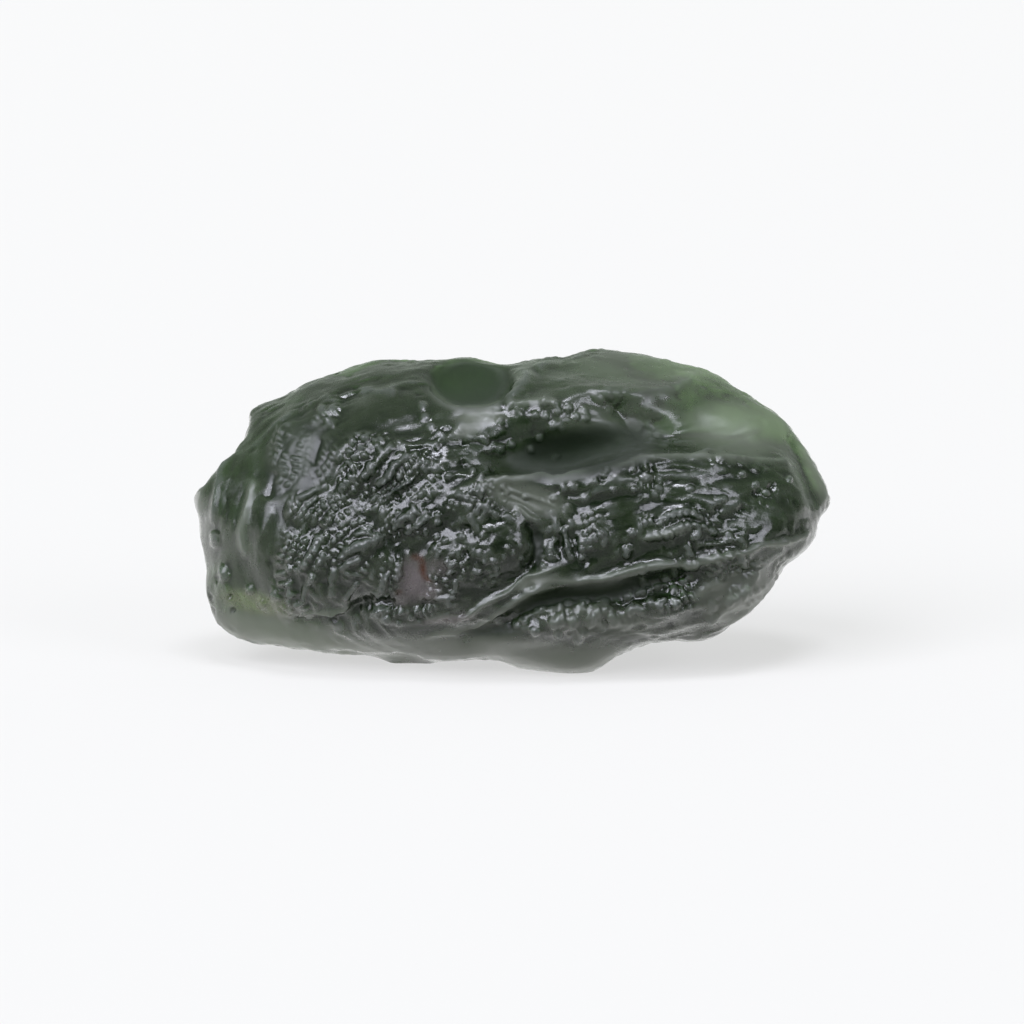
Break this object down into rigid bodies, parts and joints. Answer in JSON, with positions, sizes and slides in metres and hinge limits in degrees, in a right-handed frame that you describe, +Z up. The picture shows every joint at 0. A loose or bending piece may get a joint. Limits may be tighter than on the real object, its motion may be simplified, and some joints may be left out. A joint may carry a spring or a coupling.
{
  "type": "moldavite",
  "caption": "Raw moldavite: a small oblong nugget of green natural glass with a fluted, pitted skin, resting on a flat spot.",
  "frame": {"origin": "middle of the stone's box, on the ground that it rests on", "axes": "+X along the stone's longest way, +Y from the broad face to the back, +Z up"},
  "size_m": [0.0268, 0.0126, 0.0128],
  "materials": {
    "green_glass": "see-through bottle-green natural glass with a dull etched skin, fine ribs and pits"
  },
  "bodies": {
    "root": {"moldavite": "green_glass"}
  },
  "joints": []
}
